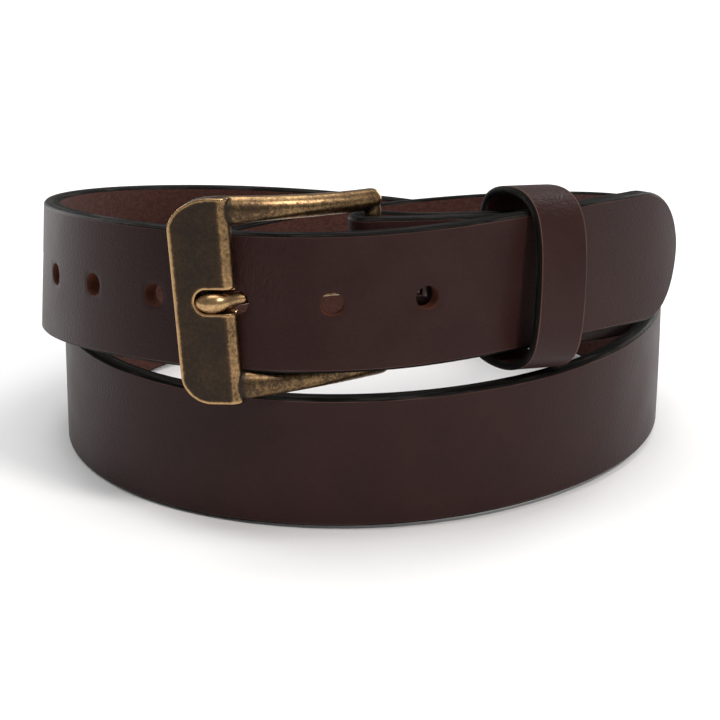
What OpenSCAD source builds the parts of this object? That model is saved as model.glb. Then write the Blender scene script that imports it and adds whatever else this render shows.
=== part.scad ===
// Dress belt lying coiled on its edge, buckled at the third hole.
// Millimetres. The belt rests on Z = 0 and +Z runs up across the strap's width.
// The buckle's face looks towards -Y and the strap runs round the coil anticlockwise from above.

/* [Strap] */
// Width of the strap
strap_width = 38.1; // [37.5:0.1:38.4]
// Thickness of the strap
strap_thickness = 4.8; // [4.4:0.1:4.8]
// Thickness of the end that is folded back round the buckle's bar
fold_thickness = 3.8; // [3.4:0.1:3.8]
// Length of the folded-back end, measured from the buckle's bar
fold_length = 79; // [78:0.5:81]
// Length of the strap from the buckle's bar to the tip
strap_length = 1209; // [1206:1:1212]
// Bevel along the strap's edges
edge_bevel = 0.8; // [0.4:0.1:1.2]

/* [Holes] */
// Diameter of the punched holes
hole_diameter = 6.4; // [6:0.1:7]
// Number of holes
hole_count = 7; // [3:1:8]
// Distance from one hole to the next
hole_pitch = 25.4; // [25:0.1:25.6]
// Distance from the tip to the first hole
tip_to_hole = 101; // [100:0.5:102]

/* [Buckle] */
// Diameter of the bar that the strap folds round
bar_diameter = 4.8; // [4.6:0.1:4.8]
// Height of the buckle's face plate
plate_height = 57; // [56:0.5:59]
// Width of the face plate
plate_width = 16.6; // [16.4:0.1:16.8]
// Thickness of the face plate
plate_thickness = 3.8; // [3.4:0.1:3.8]
// Height of the window that the strap passes through
window_height = 42.8; // [42.6:0.1:43.4]
// Distance from the bar to the middle of the face plate
buckle_reach = 47.4; // [47.2:0.1:47.6]

/* [Prong] */
// Diameter of the prong's shank
prong_diameter = 3.4; // [3:0.1:3.5]
// Diameter of the prong's thick end
prong_bulb_diameter = 5.2; // [4.6:0.1:5.4]

/* [Keeper] */
// Width of the keeper loop along the strap
keeper_width = 15.5; // [14:0.5:16]
// Thickness of the keeper's leather
keeper_thickness = 2.4; // [2.0:0.1:2.6]

/* [Fasteners] */
// Diameter of the fasteners' heads
head_diameter = 9.6; // [9:0.1:10]
// Diameter of the posts' barrels
barrel_diameter = 5; // [4.6:0.1:5.2]

/* [Hidden] */
$fn = 64;

// Route of the strap's centreline: one station for every 60 degrees of turn, from -60.
// Each station is [radius from the coil's axis, height, lean of the top away from the axis].
STATIONS = [[101, 77, -13], [60, 68.5, -8], [63.5, 63.5, -3], [90, 44, 7], [96, 22.5, 9], [93, 18.5, -5],
            [80, 19, 5], [69, 20, 2], [70, 21, 5], [94, 20.5, -2], [119, 20.5, 3], [99, 43.5, -2],
            [85, 65, -4], [78, 68, -7], [62, 68, 2], [116, 53, -5], [116, 53, -5]];
station_step = 60;
// Where the coil's axis stands in plan, and how far the route is lifted to rest on Z = 0
coil_x = 3.55;
coil_y = -16.55;
lift = 0.2;

// Along the strap
section_pitch = 4.5;      // spacing of the strap's cross sections
bar_turn = 3.1;           // turn angle at which the strap leaves the buckle's bar
wrap_clearance = 0.1;     // between the bar and the leather round it
wrap_step = 15;           // degrees between sections round the bar
blend_length = 30;        // over which the strap turns from the bar's axis to the coil's lean
layers_gap = 0.4;         // between the two layers where they are fastened together
closing_length = 16;      // over which the layers close up behind the bar
front_fastener_at = 20;   // distances of the fasteners from the bar
rear_fastener_at = 71.5;
keeper_at = 43.8;         // distance of the keeper's middle from the bar

// Buckle, in its own frame: X from the bar to the plate, Y outwards, Z up along the bar
bar_tilt = [4.2, 2.3, 190];   // turns of the buckle's frame about X, Y and Z
buckle_open = 1.8;            // the buckle stands this many degrees off the strap
buckle_lift = 0.7;            // the buckle sits a little high on the strap
plate_out = 5.2;              // the plate's middle stands this far out from the bar
plate_turn = 25;              // the plate turns back to follow the coil
plate_corner = 8;             // radius of the plate's outer corners
rail_depth = 4.6;
rail_height = 6.4;
rail_radius = 82;             // the rails bow to follow the waist
rail_end = [40.6, 7.2];       // where the rails' middle meets the plate
heel_radius = 2.8;
heel_proud = 0.3;             // the heels stand this far past the rails
notch_width = 7.4;
notch_end = 2.4;              // end of the notch, past the plate's middle
seat_start = 0.4;             // the notch is open up to here and has a floor beyond
seat_floor = 1.0;             // thickness of the notch's floor
seat_ledge = 0.3;             // width of the floor left along the notch's sides

// Prong, in the buckle's frame
prong_level = -0.4;           // height of the prong on the bar
loop_clearance = 0.05;        // radial running clearance on the bar
loop_outer = 4.1;             // outer radius of the loop
loop_width = 5;
PRONG_ROUTE = [[-6, -0.4], [0, 2.9], [8, 4.2], [16, 4.4], [24, 3.8], [30, 3.0],
               [34, 3.4], [38, 4.8], [42, 6.2], [45.8, 7.2], [49, 5.8], [52, 4.0]];
prong_steps = 3;              // rings for each stretch of the route
prong_start = 1.1;            // the shank starts inside the loop
bulb_start = 7.3;             // route stretches at which the bulb swells, is widest and ends
bulb_middle = 8.6;
bulb_end = 9.85;
slot_half_width = 3.2;        // slot in the fold that lets the prong swing
slot_length = 11;
worn_lift = 1.4;              // the used hole is stretched outwards by this much

// Keeper, in its own frame: X along the strap, Y outwards, Z up
keeper_back = -7.95;          // inner faces of the keeper's walls
keeper_front = 15.2;
keeper_bottom = -20.4;
keeper_top = 23.4;
keeper_front_corner = 9;      // inner corner radii
keeper_back_corner = 2.6;
staple_wire = 0.8;
staple_length = 9;

// Fasteners, along their own axis from the middle of the front layer
head_thickness = 1.3;
recess_depth = 0.7;
recess_clearance = 0.1;
barrel_clearance = 0.05;
screw_diameter = 3.4;
screw_clearance = 0.05;
driver_slot = [1.2, 0.6];     // width and depth of the screwdriver slot

// ---- Vectors ----
function unit(v) = v / norm(v);
function mix(a, b, k) = a * (1 - k) + b * k;
function smooth(x) = let (k = min(1, max(0, x))) k * k * (3 - 2 * k);

// ---- Strap's route ----
// Uniform cubic B-spline through a list of stations, at position p
function spline(list, p) =
    let (i = floor(p), f = p - i)
    (pow(1 - f, 3) * list[i - 1] + (3 * pow(f, 3) - 6 * f * f + 4) * list[i]
     + (1 + 3 * f + 3 * f * f - 3 * pow(f, 3)) * list[i + 1] + pow(f, 3) * list[i + 2]) / 6;
function station(turn) = spline(STATIONS, turn / station_step + 1);
function route(turn) =
    let (s = station(turn))
    [coil_x + s[0] * sin(turn), coil_y - s[0] * cos(turn), s[1] + lift];

// Length along the route, tabled every table_step degrees
table_from = 0;
table_step = 2;
table_end = 836;
turns = [for (t = [table_from : table_step : table_end]) t];
steps = [for (i = [1 : len(turns) - 1]) norm(route(turns[i]) - route(turns[i - 1]))];
lengths = [for (i = 0, s = 0; i < len(turns); s = s + (i < len(steps) ? steps[i] : 0), i = i + 1) s];
length_at = [for (i = [0 : len(turns) - 1]) [turns[i], lengths[i]]];
turn_at = [for (i = [0 : len(turns) - 1]) [lengths[i], turns[i]]];
bar_s = lookup(bar_turn, length_at);
function turn_from_bar(u) = lookup(bar_s + u, turn_at);

// Frame [centre, along, up, outward] of the strap at distance u from the bar
function bar_axis() =
    let (a = bar_tilt[0], b = bar_tilt[1], c = bar_tilt[2])
    [sin(a) * sin(c) + cos(a) * sin(b) * cos(c), -sin(a) * cos(c) + cos(a) * sin(b) * sin(c), cos(a) * cos(b)];
function leaned_up(along, lean) =
    let (level_up = unit([0, 0, 1] - along[2] * along))
    cos(lean) * level_up + sin(lean) * cross(along, level_up);
function strap_frame(u) =
    let (t = turn_from_bar(u),
         along = unit(route(t + 0.5) - route(t - 0.5)),
         free_up = leaned_up(along, station(t)[2]),
         up = unit(mix(bar_axis(), free_up, smooth(u / blend_length))))
    [route(t), along, up, unit(cross(along, up))];

// ---- Strap's cross sections ----
half_width = strap_width / 2;
wrap_radius = bar_diameter / 2 + wrap_clearance;
start = strap_frame(0);
bar_centre = start[0] - start[3] * (wrap_radius + strap_thickness / 2);
wrap_along = cross(start[2], start[3]);

function section(centre, out, up, thick, half, bevel) =
    let (x = thick / 2, e = min(bevel, half / 2))
    [for (p = [[-x, e - half], [e - x, -half], [x - e, -half], [x, e - half],
               [x, half - e], [x - e, half], [e - x, half], [-x, half - e]])
        centre + out * p[0] + up * p[1]];
function layer_gap(u) = mix(2 * wrap_radius, layers_gap, smooth(u / closing_length));
function fold_section(u) =
    let (f = strap_frame(u))
    section(f[0] - f[3] * (strap_thickness / 2 + layer_gap(u) + fold_thickness / 2),
            -f[3], f[2], fold_thickness, half_width, edge_bevel);
function wrap_section(angle) =
    let (out = start[3] * cos(angle) - wrap_along * sin(angle),
         thick = mix(strap_thickness, fold_thickness, angle / 180))
    section(bar_centre + out * (wrap_radius + thick / 2), out, start[2], thick, half_width, edge_bevel);
function strap_section(u, half) =
    let (f = strap_frame(u)) section(f[0], f[3], f[2], strap_thickness, half, edge_bevel);

fold_pitch = fold_length / 27;
straight_length = strap_length - half_width;
straight_count = ceil(straight_length / section_pitch);
SECTIONS = concat(
    [for (i = [0 : 27]) fold_section(fold_length - i * fold_pitch)],
    [for (a = [180 - wrap_step : -wrap_step : wrap_step]) wrap_section(a)],
    [for (i = [0 : straight_count]) strap_section(i * straight_length / straight_count, half_width)],
    [for (a = [8 : 8 : 80]) strap_section(straight_length + half_width * sin(a), half_width * cos(a))],
    [strap_section(strap_length, half_width * cos(84))]);

// Closed solid through a list of equal rings of points
module loft(rings) {
    n = len(rings[0]);
    last = len(rings) - 1;
    points = [for (r = rings) each r];
    sides = [for (i = [0 : last - 1], j = [0 : n - 1])
                let (k = (j + 1) % n, a = i * n, b = a + n)
                each [[a + j, a + k, b + k], [a + j, b + k, b + j]]];
    ends = [[for (j = [n - 1 : -1 : 0]) j], [for (j = [0 : n - 1]) last * n + j]];
    polyhedron(points, concat(sides, ends));
}

// Places children so that their X, Y and Z lie along three given directions
module in_frame(origin, x, y, z) {
    multmatrix([[x[0], y[0], z[0], origin[0]],
                [x[1], y[1], z[1], origin[1]],
                [x[2], y[2], z[2], origin[2]],
                [0, 0, 0, 1]])
        children();
}

// Z outwards through the strap at distance u from the bar
module through_strap(u) {
    f = strap_frame(u);
    up = cross(f[3], f[1]);
    in_frame(f[0], f[1], up, f[3]) children();
}

module in_buckle_frame() {
    translate(bar_centre + start[2] * buckle_lift)
        rotate(bar_tilt)
            rotate([0, 0, buckle_open])
                children();
}

// X, Y and Z here run along the plate, outwards and up, from the plate's middle
module on_plate() {
    translate([buckle_reach, plate_out, 0])
        rotate([0, 0, -plate_turn])
            children();
}

function hole_position(i) = strap_length - tip_to_hole - i * hole_pitch;

// ---- Strap ----
module punched_holes() {
    for (i = [0 : hole_count - 1])
        through_strap(hole_position(i))
            cylinder(h = 2 * strap_thickness, d = hole_diameter, center = true);
}

// The used hole, stretched along the line of the prong
prong_line = [PRONG_ROUTE[6], PRONG_ROUTE[8]];
module worn_hole() {
    run = prong_line[1] - prong_line[0];
    slope = atan2(run[1], run[0]);
    in_buckle_frame()
        translate([(prong_line[0][0] + prong_line[1][0]) / 2,
                   (prong_line[0][1] + prong_line[1][1]) / 2 + worn_lift, prong_level])
            rotate([0, 0, slope])
                rotate([0, 90, 0])
                    cylinder(h = 20, d = hole_diameter, center = true);
}

module prong_slot() {
    in_frame(bar_centre, -wrap_along, start[3], start[2]) {
        reach = 2 * wrap_radius + 2 * strap_thickness;
        translate([-slot_length, -reach / 2, -slot_half_width])
            cube([slot_length + reach, reach, 2 * slot_half_width]);
        translate([-slot_length, reach / 2, 0])
            rotate([90, 0, 0])
                cylinder(h = reach, r = slot_half_width);
    }
}

module fastener_hole(u) {
    back = strap_thickness / 2 + layer_gap(u) + fold_thickness;
    through_strap(u) {
        cylinder(h = 4 * strap_thickness, d = barrel_diameter + 2 * barrel_clearance, center = true);
        translate([0, 0, strap_thickness / 2 - recess_depth])
            cylinder(h = 2, d = head_diameter + 2 * recess_clearance);
        translate([0, 0, recess_depth - back - 2])
            cylinder(h = 2, d = head_diameter + 2 * recess_clearance);
    }
}

module strap() {
    color([0.24, 0.15, 0.14])
        difference() {
            loft(SECTIONS);
            punched_holes();
            worn_hole();
            prong_slot();
            fastener_hole(front_fastener_at);
            fastener_hole(rear_fastener_at);
        }
}

// ---- Buckle ----
module plate_outline() {
    w = plate_width / 2;
    h = plate_height / 2;
    r = plate_corner;
    translate([-w, -h]) square([plate_width - r, plate_height]);
    translate([-w, r - h]) square([plate_width, plate_height - 2 * r]);
    for (side = [-1, 1])
        translate([w - r, side * (h - r)]) circle(r);
}

module notch_outline(from) {
    r = notch_width / 2;
    translate([from, -r]) square([notch_end - r - from, notch_width]);
    translate([notch_end - r, 0]) circle(r);
}

module face_plate() {
    t = plate_thickness;
    on_plate()
        difference() {
            translate([0, t / 2, 0])
                rotate([90, 0, 0])
                    linear_extrude(t) plate_outline();
            // open part of the notch, with a ledge along each side
            translate([-plate_width, -t, seat_ledge - notch_width / 2])
                cube([plate_width + seat_start, 2 * t, notch_width - 2 * seat_ledge]);
            // part with a floor, where the prong's end rests
            translate([0, t, 0])
                rotate([90, 0, 0])
                    linear_extrude(1.5 * t - seat_floor) notch_outline(-plate_width);
        }
}

// Bowed side rail, from the bar's heel to the plate
module rail() {
    chord = norm(rail_end);
    half_angle = asin(chord / 2 / rail_radius);
    r = rail_radius;
    start_angle = 90 + half_angle;
    rotate([0, 0, atan2(rail_end[1], rail_end[0])])
        translate([chord / 2, -r * cos(half_angle), 0])
            rotate([0, 0, start_angle - 2 * half_angle])
                rotate_extrude(angle = 2 * half_angle, $fn = 360)
                    translate([r - rail_depth / 2, 0]) square([rail_depth, rail_height]);
}

module buckle_frame() {
    color([0.42, 0.32, 0.17])
        in_buckle_frame() {
            cylinder(h = window_height + rail_height, d = bar_diameter, center = true);
            for (side = [0, 1])
                mirror([0, 0, side])
                    translate([0, 0, window_height / 2]) {
                        translate([0, 0, -heel_proud])
                            cylinder(h = rail_height + 2 * heel_proud, r = heel_radius);
                        rail();
                    }
            face_plate();
        }
}

// ---- Prong ----
function prong_radius(p) =
    let (neck = prong_diameter / 2, bulb = prong_bulb_diameter / 2,
         tip = sqrt(max(0.02, 1 - pow(max(0, p - bulb_middle) / (bulb_end - bulb_middle), 2))))
    mix(neck, bulb, smooth((p - bulb_start) / (bulb_middle - bulb_start))) * tip;
function prong_ring(p) =
    let (c = spline(PRONG_ROUTE, p),
         d = unit(spline(PRONG_ROUTE, p + 0.02) - spline(PRONG_ROUTE, p - 0.02)),
         r = prong_radius(p), sides = 16)
    [for (k = [0 : sides - 1])
        let (a = 360 * k / sides)
        [c[0] - d[1] * r * cos(a), c[1] + d[0] * r * cos(a), prong_level - r * sin(a)]];

module prong() {
    shank = [for (i = [0 : 22]) prong_start + i / prong_steps];
    bulb = [for (p = [bulb_middle : 0.2 : bulb_end - 0.1]) p];
    color([0.48, 0.37, 0.2])
        in_buckle_frame()
            difference() {
                union() {
                    translate([0, 0, prong_level])
                        cylinder(h = loop_width, r = loop_outer, center = true);
                    loft([for (p = concat(shank, bulb)) prong_ring(p)]);
                }
                translate([0, 0, prong_level])
                    cylinder(h = 3 * loop_width, d = bar_diameter + 2 * loop_clearance, center = true);
            }
}

// ---- Keeper ----
module in_keeper_frame() {
    f = strap_frame(keeper_at);
    in_frame(f[0], f[1], f[3], cross(f[1], -f[3])) children();
}

// Upright rectangle with rounded corners, the back ones smaller than the front ones
module loop_outline(back, front, bottom, top, back_r, front_r) {
    middle = (back + front) / 2;
    translate([back, bottom + back_r]) square([middle - back, top - bottom - 2 * back_r]);
    translate([back + back_r, bottom]) square([middle - back - back_r, top - bottom]);
    translate([middle, bottom + front_r]) square([front - middle, top - bottom - 2 * front_r]);
    translate([middle, bottom]) square([front - front_r - middle, top - bottom]);
    for (z = [bottom + back_r, top - back_r])
        translate([back + back_r, z]) circle(back_r);
    for (z = [bottom + front_r, top - front_r])
        translate([front - front_r, z]) circle(front_r);
}

module keeper_ring() {
    t = keeper_thickness;
    translate([-keeper_width / 2, 0, 0])
        rotate([90, 0, 90])
            linear_extrude(keeper_width)
                difference() {
                    loop_outline(keeper_back - t, keeper_front + t, keeper_bottom - t, keeper_top + t,
                                 keeper_back_corner + t, keeper_front_corner + t);
                    loop_outline(keeper_back, keeper_front, keeper_bottom, keeper_top,
                                 keeper_back_corner, keeper_front_corner);
                }
}

// Wire staples let into the back of the keeper, across the joint of its ends
module staple_wires() {
    middle = (keeper_top + keeper_bottom) / 2;
    outer = keeper_back - keeper_thickness;
    w = staple_wire;
    for (side = [-1, 1])
        translate([side * keeper_width / 4, outer, middle]) {
            translate([-w / 2, 0, -staple_length / 2])
                cube([w, w, staple_length]);
            for (z = [-staple_length / 2, staple_length / 2 - w])
                translate([-w / 2, 0, z])
                    cube([w, keeper_thickness, w]);
        }
}

module keeper() {
    color([0.25, 0.15, 0.14])
        in_keeper_frame()
            difference() {
                keeper_ring();
                staple_wires();
            }
}

module keeper_staples() {
    color([0.6, 0.6, 0.58])
        in_keeper_frame() staple_wires();
}

// ---- Fasteners ----
function fastener_back(u) = -(strap_thickness / 2 + layer_gap(u) + fold_thickness) + recess_depth;

module post(u) {
    seat = strap_thickness / 2 - recess_depth;
    back = fastener_back(u) + 0.2;
    color([0.42, 0.32, 0.17])
        through_strap(u)
            difference() {
                union() {
                    translate([0, 0, seat]) cylinder(h = head_thickness, d = head_diameter);
                    translate([0, 0, back]) cylinder(h = seat - back + 0.1, d = barrel_diameter);
                }
                translate([0, 0, back - 1])
                    cylinder(h = seat - back, d = screw_diameter + 2 * screw_clearance);
            }
}

module screw(u) {
    back = fastener_back(u);
    color([0.5, 0.4, 0.24])
        through_strap(u)
            difference() {
                union() {
                    translate([0, 0, back - head_thickness]) cylinder(h = head_thickness, d = head_diameter);
                    translate([0, 0, back - 0.1]) cylinder(h = 5, d = screw_diameter);
                }
                translate([-head_diameter, -driver_slot[0] / 2, back - head_thickness - 1])
                    cube([2 * head_diameter, driver_slot[0], 1 + driver_slot[1]]);
            }
}

module front_post() { post(front_fastener_at); }
module front_screw() { screw(front_fastener_at); }
module rear_post() { post(rear_fastener_at); }
module rear_screw() { screw(rear_fastener_at); }

strap();
buckle_frame();
prong();
keeper();
keeper_staples();
front_post();
front_screw();
rear_post();
rear_screw();
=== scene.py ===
"""A dress belt, coiled on its edge and buckled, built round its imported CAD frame.

Shapes are worked out in millimetres in the row frame and turned to metres when each mesh is made.
"""

from math import atan2, cos, pi, radians, sin, sqrt

import bmesh
import bpy
import numpy as np
from mathutils import Matrix, Vector


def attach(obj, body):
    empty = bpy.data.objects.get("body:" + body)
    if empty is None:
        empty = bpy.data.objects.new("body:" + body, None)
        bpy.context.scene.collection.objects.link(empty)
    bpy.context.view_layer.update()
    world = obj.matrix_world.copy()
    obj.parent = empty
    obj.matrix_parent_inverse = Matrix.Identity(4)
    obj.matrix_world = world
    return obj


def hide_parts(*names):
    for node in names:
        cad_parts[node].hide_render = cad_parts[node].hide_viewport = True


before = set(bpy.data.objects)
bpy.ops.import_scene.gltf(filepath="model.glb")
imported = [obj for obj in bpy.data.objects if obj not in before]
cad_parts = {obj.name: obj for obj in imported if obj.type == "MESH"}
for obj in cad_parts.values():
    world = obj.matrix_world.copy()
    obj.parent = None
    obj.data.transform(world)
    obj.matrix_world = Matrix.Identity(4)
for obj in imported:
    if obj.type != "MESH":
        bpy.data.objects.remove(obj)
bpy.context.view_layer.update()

# ---------------------------------------------------------------- dimensions, mm
STRAP_WIDTH = 38.1
STRAP_THICK = 4.8
FOLD_THICK = 3.8
FOLD_LENGTH = 79.0
STRAP_LENGTH = 1209.0
HOLE_RADIUS = 3.2
HOLE_COUNT = 7
HOLE_PITCH = 25.4
TIP_TO_HOLE = 101.0
HOLE_IN_USE = 2
# Route of the strap: radius, height and lean for every 60 degrees of turn, from -60
STATIONS = np.array([
    [101, 77, -13], [60, 68.5, -8], [63.5, 63.5, -3], [90, 44, 7], [96, 22.5, 9], [93, 18.5, -5],
    [80, 19, 5], [69, 20, 2], [70, 21, 5], [94, 20.5, -2], [119, 20.5, 3], [99, 43.5, -2],
    [85, 65, -4], [78, 68, -7], [62, 68, 2], [116, 53, -5], [116, 53, -5]], float)
STATION_STEP = 60.0
ROUTE_END = 837.0  # degrees of turn, just past the tip
COIL_AXIS = (3.55, -16.55)
LIFT = 0.2
BAR_TURN = 3.1
BAR_RADIUS = 2.4
WRAP_RADIUS = 2.5
BLEND_LENGTH = 30.0
LAYERS_GAP = 0.4
CLOSING_LENGTH = 16.0
KEEPER_AT = 43.8
KEEPER_WIDTH = 16.8
# Buckle: its frame has X from the bar to the plate, Y outwards and Z up along the bar
BAR_TILT = (4.2, 2.3, 190.0)
BUCKLE_OPEN = 1.8
BUCKLE_LIFT = 0.7
BUCKLE_REACH = 47.4
PLATE_OUT = 5.2
PLATE_TURN = 25.0
PLATE_WIDTH = 16.6
PLATE_HEIGHT = 57.0
PLATE_THICK = 3.8
PLATE_EDGE = 0.9  # radius along the outer edge
PLATE_ROLL = 2.6  # radius along the inner edge
LOWER_CORNER = 8.5
UPPER_CORNER = (13, 10)
WINDOW_HALF = 21.4
RAIL_END = (40.6, 7.2)
RAIL_BOW = 2.5
RAIL_HIGH = (2.95, 0.75)  # half height at the heel, and what it gains by the plate
RAIL_DEEP = (2.75, 0.25)  # half depth at the heel, and what it loses by the plate
RAIL_FLARE = 0.7
LOWER_RAIL_IN = 0.7
NOTCH_WIDTH = 6.6
NOTCH_END = 2.4
PLATE_LEAN = 0.022
HEEL_DROP = 2.0
HEEL_LENGTH = 3.0
PRONG_ROUTE = np.array([
    [-6, -0.4], [0, 2.9], [8, 4.2], [16, 4.4], [24, 3.8], [30, 3.0],
    [34, 3.4], [38, 4.8], [42, 6.2], [45.8, 7.2], [49, 5.8], [52, 4.0], [55, 2.2], [58, 0.5]], float)
PRONG_LEVEL = -0.4
PRONG_RADIUS = 1.85
LOOP_RADIUS = 4.1
LOOP_BORE = 2.45
LOOP_HALF = 2.5
BULB_RADIUS = 2.95
BULB = (7.2, 8.9, 10.5)  # where the prong's end starts to swell, is thickest and ends, in route points


# ---------------------------------------------------------------- vectors and route
def unit(v):
    return v / np.linalg.norm(v)


def smooth(x):
    k = min(1.0, max(0.0, x))
    return k * k * (3 - 2 * k)


def spline(points, p):
    """Uniform cubic B-spline through a list of points, at position p."""
    i = int(p // 1)
    f = p - i
    a, b, c, d = points[i - 1], points[i], points[i + 1], points[i + 2]
    return ((1 - f) ** 3 * a + (3 * f ** 3 - 6 * f * f + 4) * b
            + (1 + 3 * f + 3 * f * f - 3 * f ** 3) * c + f ** 3 * d) / 6


def station(turn):
    return spline(STATIONS, turn / STATION_STEP + 1)


def route(turn):
    r, z, _ = station(turn)
    a = radians(turn)
    return np.array([COIL_AXIS[0] + r * sin(a), COIL_AXIS[1] - r * cos(a), z + LIFT])


TURNS = np.arange(0.0, ROUTE_END, 1.0)
LENGTHS = np.concatenate([[0], np.cumsum(
    [np.linalg.norm(route(b) - route(a)) for a, b in zip(TURNS, TURNS[1:])])])
BAR_S = np.interp(BAR_TURN, TURNS, LENGTHS)


def bar_rotation():
    x, y, z = (radians(a) for a in BAR_TILT)
    return np.array(Matrix.Rotation(z, 3, "Z") @ Matrix.Rotation(y, 3, "Y") @ Matrix.Rotation(x, 3, "X"))


BAR_AXIS = bar_rotation()[:, 2]


def strap_frame(u):
    """Centre, along, up and outward of the strap at distance u from the bar."""
    t = float(np.interp(BAR_S + u, LENGTHS, TURNS))
    along = unit(route(t + 0.5) - route(t - 0.5))
    level_up = unit(np.array([0, 0, 1.0]) - along[2] * along)
    lean = radians(station(t)[2])
    free_up = cos(lean) * level_up + sin(lean) * np.cross(along, level_up)
    k = smooth(u / BLEND_LENGTH)
    up = unit(BAR_AXIS * (1 - k) + free_up * k)
    return route(t), along, up, unit(np.cross(along, up))


START = strap_frame(0.0)
BAR_CENTRE = START[0] - START[3] * (WRAP_RADIUS + STRAP_THICK / 2)
WRAP_ALONG = np.cross(START[2], START[3])
WRAP_LENGTH = pi * (WRAP_RADIUS + STRAP_THICK / 2)


def ribbon(v):
    """Centre, outward, up and thickness of the whole strap at v along it, 0 where the wrap ends."""
    if v >= 0:
        c, _, up, out = strap_frame(v)
        return c, out, up, STRAP_THICK
    if v >= -WRAP_LENGTH:
        angle = -v / WRAP_LENGTH * pi
        out = START[3] * cos(angle) - WRAP_ALONG * sin(angle)
        thick = STRAP_THICK + (FOLD_THICK - STRAP_THICK) * angle / pi
        return BAR_CENTRE + out * (WRAP_RADIUS + thick / 2), out, START[2], thick
    u = -v - WRAP_LENGTH
    c, _, up, out = strap_frame(u)
    gap = 2 * WRAP_RADIUS + (LAYERS_GAP - 2 * WRAP_RADIUS) * smooth(u / CLOSING_LENGTH)
    thick = FOLD_THICK * (0.72 + 0.28 * smooth((FOLD_LENGTH - u) / 12))
    return c - out * (STRAP_THICK / 2 + gap + thick / 2), -out, up, thick


def hole_position(i):
    return STRAP_LENGTH - TIP_TO_HOLE - i * HOLE_PITCH


def place(origin, x, y, z):
    """Matrix that puts local X, Y and Z along three directions, in mm."""
    m = Matrix.Identity(4)
    for row in range(3):
        m[row][0], m[row][1], m[row][2], m[row][3] = x[row], y[row], z[row], origin[row]
    return m


BUCKLE = (place(BAR_CENTRE + BAR_AXIS * BUCKLE_LIFT, *bar_rotation().T)
          @ Matrix.Rotation(radians(BUCKLE_OPEN), 4, "Z"))
PLATE = (BUCKLE @ Matrix.Translation((BUCKLE_REACH, PLATE_OUT, 0))
         @ Matrix.Rotation(-radians(PLATE_TURN), 4, "Z"))


# ---------------------------------------------------------------- meshes
def make_object(name, verts, faces):
    """A smooth object in metres, from vertices in mm."""
    mesh = bpy.data.meshes.new(name)
    mesh.from_pydata((np.asarray(verts, float) * 0.001).tolist(), [], faces)
    mesh.validate()
    mesh.shade_smooth()
    obj = bpy.data.objects.new(name, mesh)
    bpy.context.scene.collection.objects.link(obj)
    return obj


def loft_faces(rings, n, closed=False, caps=True):
    faces = []
    for i in range(rings if closed else rings - 1):
        a, b = i * n, (i + 1) % rings * n
        for j in range(n):
            k = (j + 1) % n
            faces.append((a + j, a + k, b + k, b + j))
    if caps and not closed:
        faces.append(tuple(range(n - 1, -1, -1)))
        faces.append(tuple((rings - 1) * n + j for j in range(n)))
    return faces


def add_attribute(obj, name, values):
    attribute = obj.data.attributes.new(name, "FLOAT", "POINT")
    attribute.data.foreach_set("value", np.asarray(values, np.float32))


def add_vectors(obj, name, values):
    attribute = obj.data.attributes.new(name, "FLOAT_VECTOR", "POINT")
    attribute.data.foreach_set("vector", np.asarray(values, np.float32).ravel())


# ---------------------------------------------------------------- materials
class Nodes:
    """Short forms for building one material's node tree."""

    def __init__(self, name):
        self.material = bpy.data.materials.new(name)
        self.material.use_nodes = True
        self.tree = self.material.node_tree
        self.shader = self.tree.nodes["Principled BSDF"]

    def new(self, kind, inputs=None, **settings):
        node = self.tree.nodes.new(kind)
        for key, value in settings.items():
            setattr(node, key, value)
        for key, value in (inputs or {}).items():
            if isinstance(value, bpy.types.NodeSocket):
                self.tree.links.new(value, node.inputs[key])
            else:
                node.inputs[key].default_value = value
        return node

    def attribute(self, name, output="Fac"):
        return self.new("ShaderNodeAttribute", attribute_name=name).outputs[output]

    def noise(self, vector, scale, detail=3.0, rough=0.55, distortion=0.0):
        return self.new("ShaderNodeTexNoise", {
            "Vector": vector, "Scale": scale, "Detail": detail, "Roughness": rough,
            "Distortion": distortion}).outputs["Fac"]

    def cells(self, vector, scale, feature="SMOOTH_F1"):
        node = self.new("ShaderNodeTexVoronoi", {"Vector": vector, "Scale": scale}, feature=feature)
        return node.outputs["Distance"]

    def ramp(self, value, low, high, to_low=0.0, to_high=1.0):
        return self.new("ShaderNodeMapRange", {
            "Value": value, "From Min": low, "From Max": high, "To Min": to_low,
            "To Max": to_high}).outputs["Result"]

    def math(self, operation, a, b=0.0):
        return self.new("ShaderNodeMath", {0: a, 1: b}, operation=operation).outputs["Value"]

    def mix(self, factor, a, b):
        node = self.new("ShaderNodeMix", data_type="RGBA")
        for key, value in ((0, factor), (6, a), (7, b)):
            if isinstance(value, bpy.types.NodeSocket):
                self.tree.links.new(value, node.inputs[key])
            else:
                node.inputs[key].default_value = value
        return node.outputs[2]

    def scaled(self, vector, scale):
        return self.new("ShaderNodeMapping", {"Vector": vector, "Scale": scale}).outputs["Vector"]

    def bump(self, height, strength, distance, normal=None):
        inputs = {"Height": height, "Strength": strength, "Distance": distance}
        if normal is not None:
            inputs["Normal"] = normal
        return self.new("ShaderNodeBump", inputs).outputs["Normal"]

    def wire(self, socket, value):
        if isinstance(value, bpy.types.NodeSocket):
            self.tree.links.new(value, self.shader.inputs[socket])
        else:
            self.shader.inputs[socket].default_value = value


GRAIN_DARK = (0.020, 0.0068, 0.0062, 1)
GRAIN_LIGHT = (0.031, 0.0125, 0.0110, 1)
FLESH_DARK = (0.040, 0.014, 0.011, 1)
FLESH_LIGHT = (0.090, 0.036, 0.028, 1)
EDGE_BLACK = (0.006, 0.0055, 0.005, 1)
# painted highlight: the grey streaked along the black edges stands in for light glinting on them
EDGE_PAINTED_HIGHLIGHT = (0.045, 0.042, 0.038, 1)
RIM_LINE = (0.12, 0.058, 0.040, 1)
HOLE_WALL = (0.085, 0.026, 0.013, 1)


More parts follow.
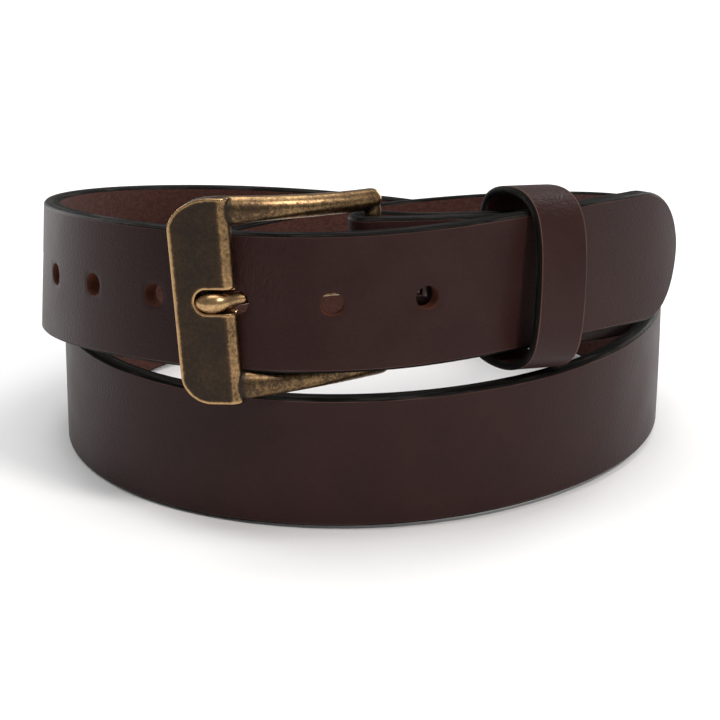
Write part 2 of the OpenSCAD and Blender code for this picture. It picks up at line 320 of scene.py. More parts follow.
def leather(name):
    """Dyed full-grain leather: smooth grain side, fibrous flesh side, black edges streaked with painted
    grey highlights, brown hole walls.
    """
    n = Nodes(name)
    flat = n.attribute("flat", "Vector")
    edge, flesh, rim = n.attribute("edge"), n.attribute("flesh"), n.attribute("rim")
    hole = n.attribute("hole")
    crease = n.attribute("crease")
    cloud = n.noise(flat, 45.0, 4.0, 0.6)
    speck = n.noise(flat, 1500.0, 2.0, 0.6)
    streak = n.noise(n.scaled(flat, (60.0, 900.0, 900.0)), 1.0, 3.0, 0.6)
    fibre = n.noise(n.scaled(flat, (500.0, 900.0, 900.0)), 1.0, 4.0, 0.7, 0.6)
    pores = n.cells(flat, 1500.0)
    folds = n.noise(n.scaled(flat, (700.0, 260.0, 260.0)), 1.0, 3.0, 0.6, 1.2)

    tone = n.math("ADD", n.ramp(cloud, 0.3, 0.7, 0.0, 0.7), n.ramp(speck, 0.35, 0.7, 0.0, 0.3))
    grain_colour = n.mix(tone, GRAIN_DARK, GRAIN_LIGHT)
    flesh_colour = n.mix(n.ramp(fibre, 0.3, 0.72), FLESH_DARK, FLESH_LIGHT)
    # black edge colour streaked with painted grey highlights
    edge_colour = n.mix(n.ramp(streak, 0.5, 0.78), EDGE_BLACK, EDGE_PAINTED_HIGHLIGHT)
    rim_strength = n.math("MULTIPLY", rim, n.ramp(streak, 0.35, 0.6, 0.25, 0.9))
    colour = n.mix(flesh, grain_colour, flesh_colour)
    colour = n.mix(rim_strength, colour, RIM_LINE)
    colour = n.mix(edge, colour, edge_colour)
    colour = n.mix(hole, colour, HOLE_WALL)
    n.wire("Base Color", colour)

    grain_rough = n.ramp(cloud, 0.3, 0.7, 0.40, 0.50)
    rough = n.math("ADD", grain_rough, n.math("MULTIPLY", flesh, 0.32))
    rough = n.math("ADD", rough, n.math("MULTIPLY", hole, 0.3))
    n.wire("Roughness", rough)
    n.wire("Specular IOR Level", n.ramp(edge, 0.0, 1.0, 0.14, 0.035))

    grain_height = n.math("MULTIPLY", pores, 0.6)
    normal = n.bump(grain_height, 0.4, 0.0003)
    normal = n.bump(n.math("MULTIPLY", fibre, n.ramp(flesh, 0.0, 1.0, 0.05, 1.0)), 0.5, 0.0003, normal)
    normal = n.bump(n.math("MULTIPLY", folds, crease), 0.5, 0.0005, normal)
    normal = n.bump(n.math("MULTIPLY", streak, edge), 0.4, 0.0004, normal)
    n.wire("Normal", normal)
    return n.material


def brass(name, dark, bright, field):
    """Antique brass: a dark mottled field, rubbed bright where the wear attribute is high."""
    n = Nodes(name)
    place_in = n.new("ShaderNodeTexCoord").outputs["Object"]
    wear = n.attribute("wear")
    mottle = n.noise(place_in, 900.0, 4.0, 0.7)
    fine = n.noise(place_in, 2600.0, 3.0, 0.7)
    cloud = n.noise(place_in, 130.0, 3.0, 0.6)
    speckle = n.math("ADD", n.ramp(mottle, 0.3, 0.7, -0.15, 0.15), n.ramp(fine, 0.3, 0.7, -0.12, 0.12))
    rubbed = n.math("ADD", wear, speckle)
    rubbed = n.math("ADD", rubbed, n.ramp(cloud, 0.3, 0.7, -0.1, 0.1))
    rubbed = n.ramp(rubbed, 0.05, 0.85)
    colour = n.mix(rubbed, dark, field)
    colour = n.mix(n.ramp(rubbed, 0.45, 1.0), colour, bright)
    n.wire("Base Color", colour)
    n.wire("Metallic", n.ramp(rubbed, 0.0, 0.5, 0.85, 1.0))
    n.wire("Roughness", n.ramp(rubbed, 0.0, 1.0, 0.46, 0.24))
    n.wire("Normal", n.bump(n.math("ADD", mottle, fine), 0.12, 0.00012))
    return n.material


def plain_metal(name, colour, rough):
    n = Nodes(name)
    place_in = n.new("ShaderNodeTexCoord").outputs["Object"]
    scratch = n.noise(n.scaled(place_in, (400.0, 3000.0, 3000.0)), 1.0, 3.0, 0.6)
    dull = tuple(0.6 * c for c in colour[:3]) + (1,)
    n.wire("Base Color", n.mix(n.ramp(scratch, 0.3, 0.7), dull, colour))
    n.wire("Metallic", 1.0)
    n.wire("Roughness", n.ramp(scratch, 0.3, 0.7, rough, rough + 0.15))
    n.wire("Normal", n.bump(scratch, 0.1, 0.0001))
    return n.material


# ---------------------------------------------------------------- strap
# (inset from the face, inset from the edge, edge, rim) from the grain face to the edge's middle
EDGE_PROFILE = (
    (0.00, 1.00, 0.0, 0.0), (0.03, 0.84, 0.0, 1.0), (0.08, 0.74, 1.0, 0.0),
    (0.30, 0.40, 1.0, 0.0), (0.65, 0.12, 1.0, 0.0), (1.20, 0.00, 1.0, 0.0))
# The same at the flesh face: (inset from the face, inset from the edge, edge)
FLESH_PROFILE = ((0.00, 0.80, 0.0), (0.05, 0.60, 1.0), (0.25, 0.30, 1.0), (0.70, 0.05, 1.0))
# Lines along both faces, by height from the strap's middle
FACE_LINES = (-17.0, -14.0, -11.0, -8.5, -6.5, -4.8, -3.2, -1.6, 0.0,
              1.6, 3.2, 4.8, 6.5, 8.5, 11.0, 14.0, 17.0)
FREE_LINES_FROM = 12.0  # the lines beyond this follow the strap's edge
FACE_INSET = 1.15  # from the edge to the outermost line
THIN_HALF = 6.0  # half width below which the edges' rounding shrinks
COLUMN_STEP = 2.4
COLUMN_GAP = 0.9  # least distance between two columns beside a hole or slot
WRAP_COLUMNS = 25
PATCH_HALF = 4.8
PATCH_COLUMNS = 7
# Rings from a patch's border to its hole: (share of the way out, sink below the face)
HOLE_RINGS = ((0.62, 0.0), (0.34, 0.05), (0.16, 0.16), (0.07, 0.10), (0.0, 0.32))
RIM_SHADE = 0.85  # how far the innermost ring takes the colour of the hole's wall
USED_PULL = 2.2  # stretch of the hole in use
TIP_REACH = (24.0, 16.0)  # how far from the tip its upper and lower corners start
SLOT_HALF = 3.2
SLOT_LENGTH = 13.0


def strap_profile(half, thick):
    """Points round the cross section, (out, up, edge, flesh, rim), from the grain face's lowest line."""
    scale = min(1.0, half / THIN_HALF)
    t = thick / 2
    inner = (half - FACE_INSET * scale) / FACE_LINES[-1]
    free = half < STRAP_WIDTH / 2 - 0.01
    grain = [(t, w * (inner if free or abs(w) > FREE_LINES_FROM else 1.0), 0, 0, 0) for w in FACE_LINES]
    flesh = [(-t, w, 0, 1, 0) for _, w, _, _, _ in reversed(grain)]
    up_edge = [(t - a * scale, half - b * scale, e, 0, r) for a, b, e, r in EDGE_PROFILE]
    up_flesh = [(a * scale - t, half - b * scale, e, 1, 0) for a, b, e in reversed(FLESH_PROFILE)]
    down_edge = [(o, -w, e, f, r) for o, w, e, f, r in reversed(up_edge)]
    down_flesh = [(o, -w, e, f, r) for o, w, e, f, r in reversed(up_flesh)]
    return grain + up_edge + up_flesh + flesh + down_flesh + down_edge


def tip_half(v, reach):
    """Half width of the strap at v, for a corner that starts to round at reach from the tip."""
    share = max(0.0, 1 - (STRAP_LENGTH - v) / reach)
    return STRAP_WIDTH / 2 * sqrt(max(0.0001, 1 - share ** 2))


def profile_at(v):
    thick = ribbon(v)[3]
    upper = strap_profile(tip_half(v, TIP_REACH[0]), thick)
    lower = strap_profile(tip_half(v, TIP_REACH[1]), thick)
    return [a if a[1] >= 0 else b for a, b in zip(upper, lower)]


def strap_columns():
    """Distances along the ribbon at which the mesh has a cross section."""
    fold_end = -WRAP_LENGTH - FOLD_LENGTH
    tip_columns = [STRAP_LENGTH - TIP_REACH[0] * (1 - sin(radians(a))) for a in range(0, 89, 4)]
    marks = set(np.round(np.arange(fold_end, -WRAP_LENGTH - 1.0, COLUMN_STEP), 3))
    marks |= set(np.round(np.linspace(-WRAP_LENGTH, 0, WRAP_COLUMNS), 3))
    marks |= set(np.round(np.arange(1.5, STRAP_LENGTH - TIP_REACH[0], COLUMN_STEP), 3))
    marks |= set(np.round(tip_columns, 3))
    for i in range(HOLE_COUNT):
        h = hole_position(i)
        marks = {m for m in marks if abs(m - h) > PATCH_HALF + COLUMN_GAP}
        marks |= set(np.round(h + np.linspace(-PATCH_HALF, PATCH_HALF, PATCH_COLUMNS), 3))
    for s in (SLOT_LENGTH, -WRAP_LENGTH - SLOT_LENGTH):
        marks = {m for m in marks if abs(m - s) > COLUMN_GAP} | {round(s, 3)}
    marks.add(round(fold_end, 3))
    return sorted(marks)


def wander(v, w):
    """Small uneven waves that keep the leather from looking machined, in mm."""
    return 0.10 * sin(v / 31.0 + 0.06 * w) + 0.06 * sin(v / 12.7 - 0.11 * w + 1.3)


class StrapMesh:
    """Grid of the strap with round holes through it and the prong's slot in the fold."""

    def __init__(self):
        self.verts, self.flat = [], []
        self.zones = {"edge": [], "flesh": [], "rim": [], "hole": [], "crease": []}
        self.faces = []

    def point(self, v, out, w, edge=0, flesh=0, rim=0, hole=0):
        c, normal, up, _ = ribbon(v)
        bend = wander(v, w) * smooth((v - 60) / 60) * smooth((STRAP_LENGTH - 60 - v) / 60)
        self.verts.append(c + normal * (out + bend) + up * w)
        self.flat.append((v * 0.001, w * 0.001, out * 0.001))
        near_bar = 1.0 - smooth((v - 4) / 14) if v > -WRAP_LENGTH else 0.3
        used = hole_position(HOLE_IN_USE)
        near_used = 2.0 * (1.0 - smooth((abs(v - used - 8) - 3) / 9)) * smooth((w + 6) / 8)
        values = {"edge": edge, "flesh": flesh, "rim": rim, "hole": hole,
                  "crease": max(near_bar, near_used) * (1 - flesh)}
        for key, value in values.items():
            self.zones[key].append(value)
        return len(self.verts) - 1

    def build(self):
        columns = strap_columns()
        rows = len(strap_profile(STRAP_WIDTH / 2, STRAP_THICK))
        grid = []
        for v in columns:
            grid.append([self.point(v, o, w, e, f, r) for o, w, e, f, r in profile_at(v)])
        lines = len(FACE_LINES)
        grain_rows = range(lines - 1)
        flesh_from = lines + len(EDGE_PROFILE) + len(FLESH_PROFILE)
        flesh_rows = range(flesh_from, flesh_from + lines - 1)
        low, high = FACE_LINES.index(-PATCH_HALF), FACE_LINES.index(PATCH_HALF)
        slot_low, slot_high = FACE_LINES.index(-SLOT_HALF), FACE_LINES.index(SLOT_HALF)

        def line_of(row):
            """Index of the face line that a face row starts at, counted from the bottom, or None."""
            if row in grain_rows:
                return row
            if row in flesh_rows:
                return lines - 2 - (row - flesh_from)
            return None

        skipped = {}
        for i in range(HOLE_COUNT):
            h = hole_position(i)
            first = min(range(len(columns)), key=lambda k: abs(columns[k] - (h - PATCH_HALF)))
            skipped[i] = (first, first + PATCH_COLUMNS - 1)
        slot_first = columns.index(round(-WRAP_LENGTH - SLOT_LENGTH, 3))
        slot_last = columns.index(round(SLOT_LENGTH, 3))
        for c in range(len(columns) - 1):
            in_patch = any(a <= c < b for a, b in skipped.values())
            in_slot = slot_first <= c < slot_last
            for j in range(rows):
                line = line_of(j)
                if line is not None and in_patch and low <= line < high:
                    continue
                if line is not None and in_slot and slot_low <= line < slot_high:
                    continue
                k = (j + 1) % rows
                self.faces.append((grid[c][j], grid[c][k], grid[c + 1][k], grid[c + 1][j]))
        self.faces.append(tuple(reversed(grid[0])))
        self.faces.append(tuple(grid[-1]))

        def face_vertex(c, line, grain):
            return grid[c][line] if grain else grid[c][flesh_from + lines - 1 - line]

        for i, (a, b) in skipped.items():
            self.hole(i, a, b, low, high, columns, face_vertex)
        # walls of the slot
        for c in range(slot_first, slot_last):
            for line, turned in ((slot_low, False), (slot_high, True)):
                quad = [face_vertex(c, line, True), face_vertex(c + 1, line, True),
                        face_vertex(c + 1, line, False), face_vertex(c, line, False)]
                self.faces.append(tuple(quad if turned else reversed(quad)))
        for c, turned in ((slot_first, True), (slot_last, False)):
            for line in range(slot_low, slot_high):
                quad = [face_vertex(c, line, True), face_vertex(c, line + 1, True),
                        face_vertex(c, line + 1, False), face_vertex(c, line, False)]
                self.faces.append(tuple(quad if turned else reversed(quad)))

    def hole(self, i, a, b, low, high, columns, face_vertex):
        """Rings between the patch's square border and a round hole, on both faces, and the hole's wall."""
        centre = hole_position(i)
        border = ([(c, low) for c in range(a, b)] + [(b, line) for line in range(low, high)]
                  + [(c, high) for c in range(b, a, -1)] + [(a, line) for line in range(high, low, -1)])
        half = STRAP_THICK / 2
        used = i == HOLE_IN_USE
        rims = {}
        for grain in (True, False):
            side = half if grain else -half
            pull = (-USED_PULL if grain else USED_PULL) if used else 0.0
            outer = [face_vertex(c, line, grain) for c, line in border]
            last = outer
            for fraction, sink in HOLE_RINGS:
                shade = RIM_SHADE if fraction == 0 else 0.0
                ring = []
                for c, line in border:
                    x, w = columns[c] - centre, FACE_LINES[line]
                    angle = atan2(w, x)
                    reach = PATCH_HALF / max(abs(cos(angle)), abs(sin(angle)))
                    r = HOLE_RADIUS + fraction * (reach - HOLE_RADIUS)
                    stretch = pull * (1 - fraction) if cos(angle) * pull > 0 else 0.0
                    out = side - sink * (1 if grain else -1)
                    ring.append(self.point(centre + r * cos(angle) + stretch * abs(cos(angle)), out,
                                           r * sin(angle), flesh=0 if grain else 1, hole=shade))
                self.join(last, ring, grain)
                last = ring
            rims[grain] = last
        last = rims[True]
        for share in (0.2, 0.5, 0.8):
            ring = []
            for p, q in zip(rims[True], rims[False]):
                self.verts.append(self.verts[p] * (1 - share) + self.verts[q] * share)
                flat = np.array(self.flat[p]) * (1 - share) + np.array(self.flat[q]) * share
                self.flat.append(tuple(flat))
                for key, value in (("edge", 0), ("flesh", 0.7), ("rim", 0), ("hole", 1.0), ("crease", 0)):
                    self.zones[key].append(value)
                ring.append(len(self.verts) - 1)
            self.join(last, ring, True)
            last = ring
        self.join(last, rims[False], True)

    def join(self, outer, inner, outward):
        count = len(outer)
        for j in range(count):
            k = (j + 1) % count
            quad = (outer[j], outer[k], inner[k], inner[j])
            self.faces.append(quad if outward else tuple(reversed(quad)))


def finish_leather(obj, zones, flat, material, slot, body, *nodes):
    for key, values in zones.items():
        add_attribute(obj, key, values)
    add_vectors(obj, "flat", flat)
    obj.data.materials.append(material)
    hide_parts(*nodes)
    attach(obj, body)


def fix_normals(obj):
    bm = bmesh.new()
    bm.from_mesh(obj.data)
    bmesh.ops.recalc_face_normals(bm, faces=bm.faces)
    bm.to_mesh(obj.data)
    bm.free()


def make_strap(material):
    strap = StrapMesh()
    strap.build()
    obj = make_object("strap_leather", strap.verts, strap.faces)
    fix_normals(obj)
    finish_leather(obj, strap.zones, strap.flat, material, "strap_leather", "strap_body", "strap")


# ---------------------------------------------------------------- keeper
KEEPER_THICK = 2.3
# Outer outline of the loop across the strap: [outwards, up], a closed B-spline
KEEPER_OUTLINE = np.array([
    [-10.6, -6], [-10.6, 6], [-11.0, 16], [-9.6, 24.4], [-1, 27.0], [8.8, 26.9], [15.6, 20.6], [17.6, 10],
    [18.2, 0], [18.2, -10], [16.8, -19.8], [7.2, -24.4], [-4, -23.6], [-10.8, -21], [-10.9, -14]], float)
KEEPER_STEPS = 16  # cross sections between two points of the outline
# (inset from the face, inset from the edge, edge, rim)
KEEPER_EDGE = ((0.0, 0.75, 0, 1), (0.04, 0.55, 0, 1), (0.08, 0.45, 1, 0), (0.3, 0.16, 1, 0),
               (0.7, 0.0, 1, 0))


def make_keeper(material):
    centre, along, _, out = strap_frame(KEEPER_AT)
    up = np.cross(out, along)
    if up[2] < 0:
        up = -up
    count = len(KEEPER_OUTLINE)
    closed = np.concatenate([KEEPER_OUTLINE[-1:], KEEPER_OUTLINE, KEEPER_OUTLINE[:3]])
    half, t = KEEPER_WIDTH / 2, KEEPER_THICK
    face = [(0.0, x, 0, 0, 0) for x in np.linspace(-half + 0.9, half - 0.9, 9)]
    right = [(a, half - b, e, 0, r) for a, b, e, r in KEEPER_EDGE]
    right_in = [(t - a, half - b, 1 if a > 0.05 else 0, 1, 0) for a, b, _, _ in reversed(KEEPER_EDGE)]
    left_in = [(a, -x, e, f, r) for a, x, e, f, r in reversed(right_in)]
    left = [(a, -x, e, f, r) for a, x, e, f, r in reversed(right)]
    inner = [(t, x, 0, 1, 0) for _, x, _, _, _ in reversed(face)]
    profile = face + right + right_in + inner + left_in + left
    verts, flat = [], []
    zones = {"edge": [], "flesh": [], "rim": [], "hole": [], "crease": []}
    length = 0.0
    previous = None
    for k in range(count * KEEPER_STEPS):
        p = 1 + k / KEEPER_STEPS
        q = spline(closed, p)
        ahead = unit(spline(closed, p + 0.02) - spline(closed, p - 0.02)) if p + 0.02 < count + 1 \
            else unit(spline(closed, p) - spline(closed, p - 0.02))
        normal = np.array([-ahead[1], ahead[0]])
        if previous is not None:
            length += np.linalg.norm(q - previous)
        previous = q
        shoulder = smooth((q[1] - 17) / 4) * smooth((27 - q[1]) / 2) * smooth((q[0] - 1) / 6)
        for depth, x, edge, flesh, rim in profile:
            inset = depth + (0.10 * sin(length / 7.0 + x / 9.0) if depth == 0 else 0.0)
            point = q - normal * inset
            verts.append(centre + along * x + out * point[0] + up * point[1])
            flat.append((length * 0.001, x * 0.001, depth * 0.001))
            values = (edge, flesh, rim, 0.0, shoulder * (1 - flesh))
            for key, value in zip(("edge", "flesh", "rim", "hole", "crease"), values):
                zones[key].append(value)
    obj = make_object("keeper_leather", verts,
                      loft_faces(count * KEEPER_STEPS, len(profile), closed=True))
    fix_normals(obj)
    finish_leather(obj, zones, flat, material, "keeper_leather", "keeper", "keeper")


# ---------------------------------------------------------------- cast metal
def solid_tube(path, sizes, sides=32):
    """Closed elliptical tube: path points with (half size across the path in plan, half size in Z)."""
    verts = []
    for k, (p, (a, b)) in enumerate(zip(path, sizes)):
        before, after = path[max(0, k - 1)], path[min(len(path) - 1, k + 1)]
        d = unit(np.array(after) - np.array(before))
        side = unit(np.cross(d, (0, 0, 1.0)))
        up = np.cross(side, d)
        for j in range(sides):
            angle = 2 * pi * j / sides
            verts.append(np.array(p) + side * a * cos(angle) + up * b * sin(angle))
    return verts, loft_faces(len(path), sides)


def prism(outline, low, high, axis):
    """Closed prism of a 2-D outline, extruded along Y or Z."""
    n = len(outline)
    if axis == "Z":
        verts = [(x, y, z) for z in (low, high) for x, y in outline]
    else:
        verts = [(x, y, z) for y in (low, high) for x, z in outline]
    return verts, loft_faces(2, n)


def arc(cx, cy, r, start, end, steps=10):
    return [(cx + r * cos(radians(start + (end - start) * k / steps)),
             cy + r * sin(radians(start + (end - start) * k / steps))) for k in range(steps + 1)]


def raw_object(name, part):
    """Helper object in mm, for building a casting."""
    mesh = bpy.data.meshes.new(name)
    mesh.from_pydata([tuple(map(float, v)) for v in part[0]], [], part[1])
    bm = bmesh.new()
    bm.from_mesh(mesh)
    bmesh.ops.recalc_face_normals(bm, faces=bm.faces)
    bm.to_mesh(mesh)
    bm.free()
    obj = bpy.data.objects.new(name, mesh)
    bpy.context.scene.collection.objects.link(obj)
    return obj


def boolean(obj, other, operation):
    modifier = obj.modifiers.new("cut", "BOOLEAN")
    modifier.object, modifier.operation, modifier.solver = other, operation, "EXACT"
    settle(obj)
    bpy.data.objects.remove(other)


def settle(obj):
    """Applies an object's modifiers to its mesh."""
    graph = bpy.context.evaluated_depsgraph_get()
    mesh = bpy.data.meshes.new_from_object(obj.evaluated_get(graph))
    obj.modifiers.clear()
    obj.data = mesh


def cast(obj, voxel, rounds):
    """Melts joined solids into one skin with small rounded edges and fillets."""
    modifier = obj.modifiers.new("melt", "REMESH")
    modifier.mode, modifier.voxel_size = "VOXEL", voxel
    soften = obj.modifiers.new("soften", "SMOOTH")
    soften.factor, soften.iterations = 0.5, rounds
    settle(obj)


def wear_values(mesh, reach):
    """0 in hollows and flats to 1 on the sharpest convex edges, from the mesh's own curvature."""
    count = len(mesh.vertices)
    pos = np.empty(count * 3)
    mesh.vertices.foreach_get("co", pos)
    pos = pos.reshape(-1, 3)
    normal = np.empty(count * 3)
    mesh.vertex_normals.foreach_get("vector", normal)
    normal = normal.reshape(-1, 3)
    edges = np.empty(len(mesh.edges) * 2, int)
    mesh.edges.foreach_get("vertices", edges)
    a, b = edges.reshape(-1, 2).T
    step = pos[b] - pos[a]
    length = np.maximum(np.linalg.norm(step, axis=1), 1e-6)
    bend = np.einsum("ij,ij->i", normal[b] - normal[a], step) / length ** 2
    total, ways = np.zeros(count), np.zeros(count)
    for end in (a, b):
        np.add.at(total, end, bend)
        np.add.at(ways, end, 1)
    value = total / np.maximum(ways, 1)
    for _ in range(reach):
        spread, ways = value.copy(), np.ones(count)
        np.add.at(spread, a, value[b])
        np.add.at(spread, b, value[a])
        np.add.at(ways, a, 1)
        np.add.at(ways, b, 1)
        value = spread / ways
    return value


WEAR_BEND = 3.4  # mm of radius at which an edge is mostly rubbed bright
BUCKLE_VOXEL = 0.26
PRONG_VOXEL = 0.2
CAST_ROUNDS = 4


def finish_metal(obj, name, matrix, material, body, node, wear_gain, wear_base):
    wear = np.clip(wear_base + wear_gain * np.tanh(WEAR_BEND * wear_values(obj.data, 3)), 0.0, 1.0)
    m = np.array(matrix)
    count = len(obj.data.vertices)
    pos = np.empty(count * 3)
    obj.data.vertices.foreach_get("co", pos)
    pos = pos.reshape(-1, 3) @ m[:3, :3].T + m[:3, 3]
    obj.data.vertices.foreach_set("co", (pos * 0.001).ravel())
    obj.data.update()
    obj.data.shade_smooth()
    obj.name = name
    add_attribute(obj, "wear", wear)
    obj.data.materials.clear()
    obj.data.materials.append(material)
    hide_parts(node)
    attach(obj, body)


def to_plate(x, y, z=0.0):
    """A point of the buckle's frame in the plate's frame."""
    a = radians(PLATE_TURN)
    dx, dy = x - BUCKLE_REACH, y - PLATE_OUT
    return (dx * cos(a) - dy * sin(a), dx * sin(a) + dy * cos(a), z)


def set_casting(obj):
    """Leans the plate's top along the strap and brings the upper heel down to the strap's edge."""
    inverse = np.array(BUCKLE.inverted() @ PLATE)
    back = np.array(PLATE.inverted() @ BUCKLE)
    count = len(obj.data.vertices)
    pos = np.empty(count * 3)
    obj.data.vertices.foreach_get("co", pos)
    pos = pos.reshape(-1, 3) @ inverse[:3, :3].T + inverse[:3, 3]
    reach = np.clip(pos[:, 0] / BUCKLE_REACH, 0, 1.2)
    lean = PLATE_LEAN * np.maximum(pos[:, 2] + 22, 0) * reach ** 2
    pos[:, 2] -= HEEL_DROP * (1 - np.clip(reach, 0, 1)) * np.clip((pos[:, 2] - 12) / 8, 0, 1)
    pos[:, 0] += lean
    pos = pos @ back[:3, :3].T + back[:3, 3]
    obj.data.vertices.foreach_set("co", pos.ravel())


def make_buckle(material):
    w, h, t = PLATE_WIDTH / 2, PLATE_HEIGHT / 2, PLATE_THICK / 2
    # section of the plate: thin rounded outer edge, broad roll at the inner edge
    e, roll = PLATE_EDGE, PLATE_ROLL
    section = ([(w, -t), (w, t - e)] + arc(w - e, t - e, e, 0, 90, 6)
               + [(roll - w, t)] + arc(roll - w, t - roll, roll, 90, 180, 8) + [(-w, -t)])
    body = raw_object("casting", prism(section, -h, h, "Z"))
    r = LOWER_CORNER
    across, down = UPPER_CORNER
    corner = [(w - across + across * cos(radians(a)), h - down + down * sin(radians(a)))
              for a in range(0, 91, 6)]
    outline = [(-w - 1, -h), (w - r, -h)] + arc(w - r, r - h, r, -90, 0) + corner + [(-w - 1, h)]
    boolean(body, raw_object("outline", prism(outline, -t - 1, t + 1, "Y")), "INTERSECT")
    # rails bow outwards from the heel to the plate
    heel, end = np.array([0.2, 0.0]), np.array([RAIL_END[0] + 2.2, RAIL_END[1] - 0.7])
    chord = end - heel
    side = np.array([-chord[1], chord[0]]) / np.linalg.norm(chord)
    for sign in (1, -1):
        path, sizes = [], []
        for k in range(33):
            s = k / 32
            q = heel + chord * s + side * RAIL_BOW * 4 * s * (1 - s)
            flare = RAIL_FLARE * s ** 8
            high = RAIL_HIGH[0] + RAIL_HIGH[1] * s ** 1.5 + flare
            inner = WINDOW_HALF if sign > 0 else WINDOW_HALF - LOWER_RAIL_IN
            path.append(to_plate(q[0], q[1], sign * (inner + high - 2 * flare)))
            sizes.append((RAIL_DEEP[0] - RAIL_DEEP[1] * s, high))
        back = unit(np.array(path[0]) - np.array(path[1]))
        turns = [radians(a) for a in (84, 70, 55, 40, 25, 12)]
        deep, tall = sizes[0]
        ends = [tuple(np.array(path[0]) + back * HEEL_LENGTH * sin(a)) for a in turns]
        path = ends + path
        sizes = [(deep * cos(a), tall * cos(a)) for a in turns] + sizes
        boolean(body, raw_object("rail", solid_tube(path, sizes)), "UNION")
    bar = to_plate(0, 0)
    ring = [(bar[0] + BAR_RADIUS * cos(a), bar[1] + BAR_RADIUS * sin(a))
            for a in np.linspace(0, 2 * pi, 48, endpoint=False)]
    boolean(body, raw_object("bar", prism(ring, -WINDOW_HALF - 3, WINDOW_HALF + 3, "Z")), "UNION")
    # notch: a U with a floor, open behind near the inner edge
    nr = NOTCH_WIDTH / 2
    u_shape = ([(-w - 3, -nr - 0.7), (-w + 1.2, -nr)] + arc(NOTCH_END - nr, 0, nr, -90, 90)
               + [(-w + 1.2, nr), (-w - 3, nr + 0.7)])
    through = [(-w - 4, -nr + 0.6), (-3.6, -nr + 0.6), (-3.6, nr - 0.6), (-w - 4, nr - 0.6)]
    boolean(body, raw_object("through", prism(through, -t - 3, 1.5 - t, "Y")), "DIFFERENCE")
    boolean(body, raw_object("notch", prism(u_shape, 1.2 - t, t + 3, "Y")), "DIFFERENCE")
    cast(body, BUCKLE_VOXEL, CAST_ROUNDS)
    set_casting(body)
    finish_metal(body, "buckle_casting", PLATE, material, "buckle", "buckle_frame",
                 wear_gain=0.85, wear_base=0.10)


def prong_radius(p):
    start, middle, end = BULB
    tip = sqrt(max(0.015, 1 - (max(0.0, p - middle) / (end - middle)) ** 2))
    return (PRONG_RADIUS + (BULB_RADIUS - PRONG_RADIUS) * smooth((p - start) / (middle - start))) * tip


def make_prong(material):
    path, sizes = [], []
    for p in list(np.arange(1.1, BULB[1], 0.12)) + list(np.arange(BULB[1], BULB[2] - 0.01, 0.06)):
        q = spline(PRONG_ROUTE, p)
        r = prong_radius(p)
        path.append((q[0], q[1], PRONG_LEVEL))
        sizes.append((r, r))
    body = raw_object("prong", solid_tube(path, sizes))
    for name, r, half, operation in (("loop", LOOP_RADIUS, LOOP_HALF, "UNION"),
                                     ("bore", LOOP_BORE, 2 * LOOP_HALF, "DIFFERENCE")):
        ring = [(r * cos(a), r * sin(a)) for a in np.linspace(0, 2 * pi, 64, endpoint=False)]
        boolean(body, raw_object(name, prism(ring, PRONG_LEVEL - half, PRONG_LEVEL + half, "Z")), operation)
    cast(body, PRONG_VOXEL, CAST_ROUNDS)
    finish_metal(body, "prong_casting", BUCKLE, material, "prong", "prong",
                 wear_gain=0.65, wear_base=0.30)


# ---------------------------------------------------------------- stage
CAMERA_PLACE = (1.4, -899.8, 326.3)
CAMERA_PITCH = 18.84
LENS = 158.16
SENSOR = 36.0
FLOOR_HALF = 4.0  # m
FLOOR_WHITE = (0.93, 0.93, 0.93, 1)
WORLD_STRENGTH = 0.32


def aim(obj, place_mm, target_mm):
    obj.location = Vector(place_mm) * 0.001
    direction = (Vector(target_mm) - Vector(place_mm)) * 0.001
    obj.rotation_mode = "QUATERNION"
    obj.rotation_quaternion = direction.to_track_quat("-Z", "Y")


def softbox(name, place_mm, target_mm, size_mm, power, tint=(1, 1, 1)):
    light = bpy.data.lights.new(name, "AREA")
    light.shape = "RECTANGLE"
    light.size, light.size_y = size_mm[0] * 0.001, size_mm[1] * 0.001
    light.energy = power
    light.color = tint
    obj = bpy.data.objects.new(name, light)
    bpy.context.scene.collection.objects.link(obj)
    aim(obj, place_mm, target_mm)


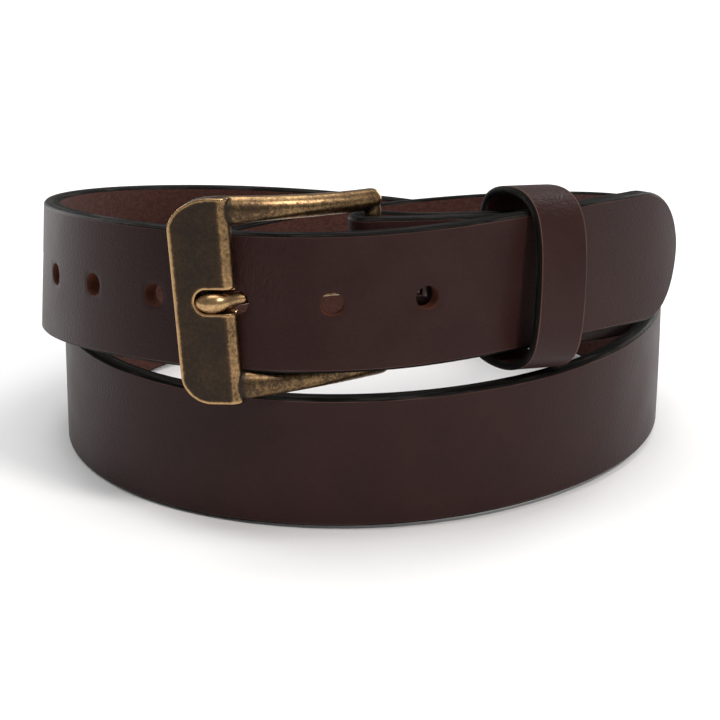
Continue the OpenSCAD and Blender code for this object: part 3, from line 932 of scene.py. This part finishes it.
def make_stage():
    mesh = bpy.data.meshes.new("floor")
    s = FLOOR_HALF
    mesh.from_pydata([(-s, -s, 0), (s, -s, 0), (s, s, 0), (-s, s, 0)], [], [(0, 1, 2, 3)])
    floor = bpy.data.objects.new("floor", mesh)
    bpy.context.scene.collection.objects.link(floor)
    n = Nodes("floor")
    n.wire("Base Color", FLOOR_WHITE)
    n.wire("Roughness", 0.7)
    n.wire("Specular IOR Level", 0.2)
    mesh.materials.append(n.material)

    world = bpy.data.worlds.new("studio")
    world.use_nodes = True
    background = world.node_tree.nodes["Background"].inputs
    background["Color"].default_value = (1.0, 1.0, 1.0, 1)
    background["Strength"].default_value = WORLD_STRENGTH
    bpy.context.scene.world = world
    softbox("top", (0, 100, 1300), (0, 0, 0), (1100, 1100), 12.0)
    softbox("key", (450, -580, 640), (-20, -60, 50), (150, 150), 4.3, (1.0, 0.96, 0.92))
    softbox("left", (-600, 560, 260), (-60, -20, 45), (350, 500), 3.4)
    softbox("right", (540, 690, 260), (60, -20, 45), (350, 500), 3.0)

    camera = bpy.data.cameras.new("camera")
    camera.sensor_width = SENSOR
    camera.lens = LENS
    camera.clip_start, camera.clip_end = 0.01, 20.0
    obj = bpy.data.objects.new("camera", camera)
    bpy.context.scene.collection.objects.link(obj)
    obj.location = Vector(CAMERA_PLACE) * 0.001
    obj.rotation_euler = (radians(90 - CAMERA_PITCH), 0, 0)
    bpy.context.scene.camera = obj
    bpy.context.scene.view_settings.view_transform = "Standard"


def recolour(node, material):
    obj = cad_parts[node]
    obj.data.materials.clear()
    obj.data.materials.append(material)


# ---------------------------------------------------------------- build
strap_material = leather("strap_leather")
keeper_material = leather("keeper_leather")
buckle_brass = brass("antique_brass", dark=(0.030, 0.021, 0.015, 1), bright=(0.42, 0.26, 0.122, 1),
                     field=(0.12, 0.075, 0.040, 1))
prong_brass = brass("prong_brass", dark=(0.04, 0.028, 0.019, 1), bright=(0.52, 0.33, 0.16, 1),
                    field=(0.14, 0.088, 0.046, 1))
fastener_brass = plain_metal("fastener_brass", (0.45, 0.32, 0.15, 1), 0.35)
staple_steel = plain_metal("staple_wire", (0.6, 0.6, 0.58, 1), 0.3)

make_strap(strap_material)
make_keeper(keeper_material)
make_buckle(buckle_brass)
make_prong(prong_brass)
for node in ("front_post", "front_screw", "rear_post", "rear_screw"):
    recolour(node, fastener_brass)
recolour("keeper_staples", staple_steel)
make_stage()
